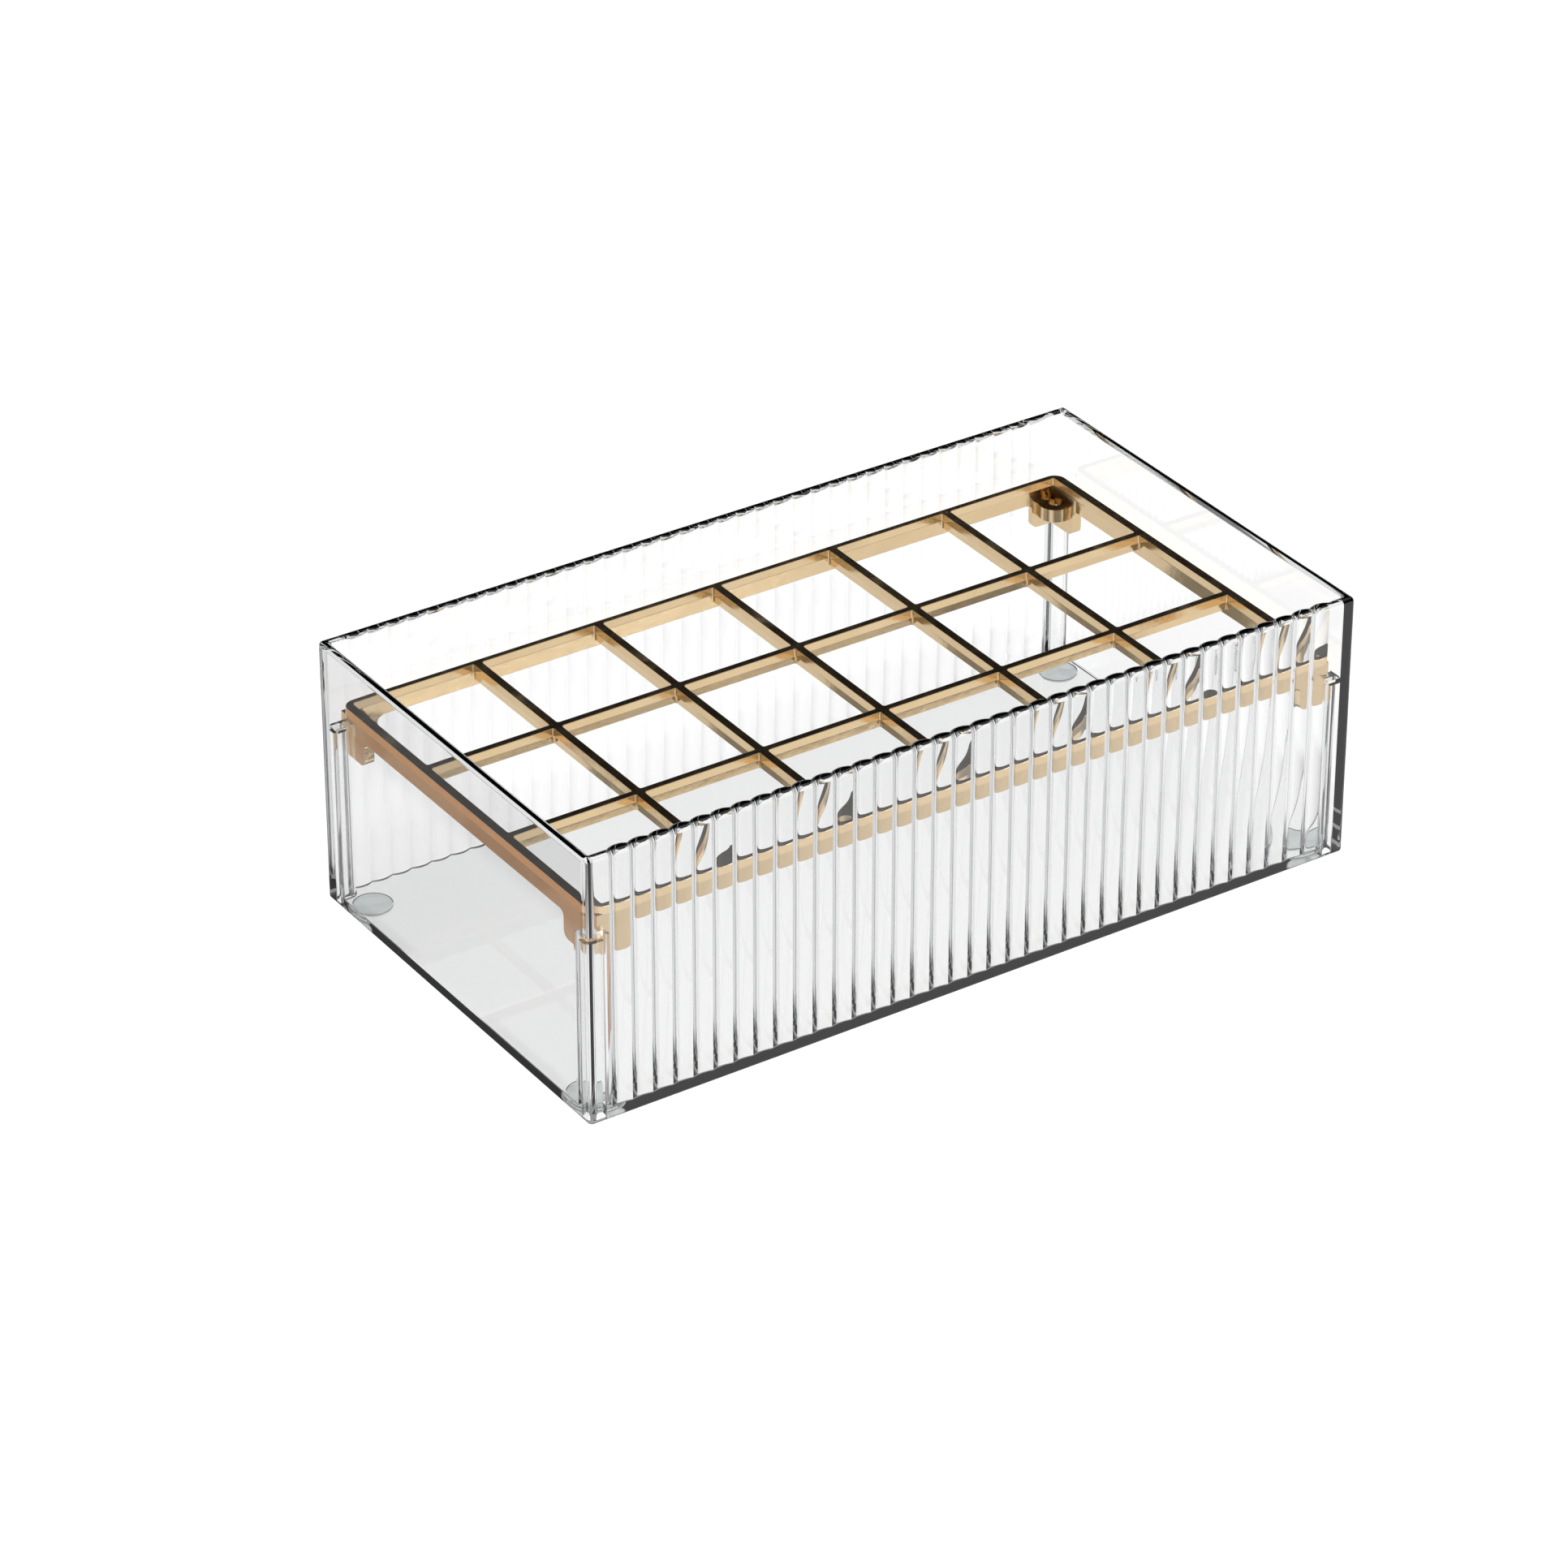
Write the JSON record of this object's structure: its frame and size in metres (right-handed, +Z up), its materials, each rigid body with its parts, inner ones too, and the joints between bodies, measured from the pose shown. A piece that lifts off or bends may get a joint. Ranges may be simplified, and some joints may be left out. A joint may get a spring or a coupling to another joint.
{
  "type": "lipstick organizer box",
  "caption": "Clear open-topped box with ribbed long walls and a lift-out gold grid of cells that holds lipsticks upright.",
  "frame": {"origin": "centre of the footprint, on the surface that the foot pads stand on", "axes": "+Z up, X along the length with the plain end walls square to it, Y across the width with the ribbed walls square to it"},
  "size_m": [0.182, 0.1, 0.06],
  "materials": {
    "clear_plastic": "clear moulded polystyrene, polished",
    "gold_plating": "moulded plastic with bright champagne gold plating",
    "clear_silicone": "soft translucent silicone"
  },
  "bodies": {
    "box": {"clear_box": "clear_plastic", "foot_pad_front_left": "clear_silicone", "foot_pad_front_right": "clear_silicone", "foot_pad_back_left": "clear_silicone", "foot_pad_back_right": "clear_silicone"},
    "grid": {"grid_insert": "gold_plating"}
  },
  "joints": [
    {"name": "grid_lift", "type": "slide", "parent": "box", "child": "grid", "axis": [0, 0, 1], "range_m": [0, 0.04]}
  ]
}
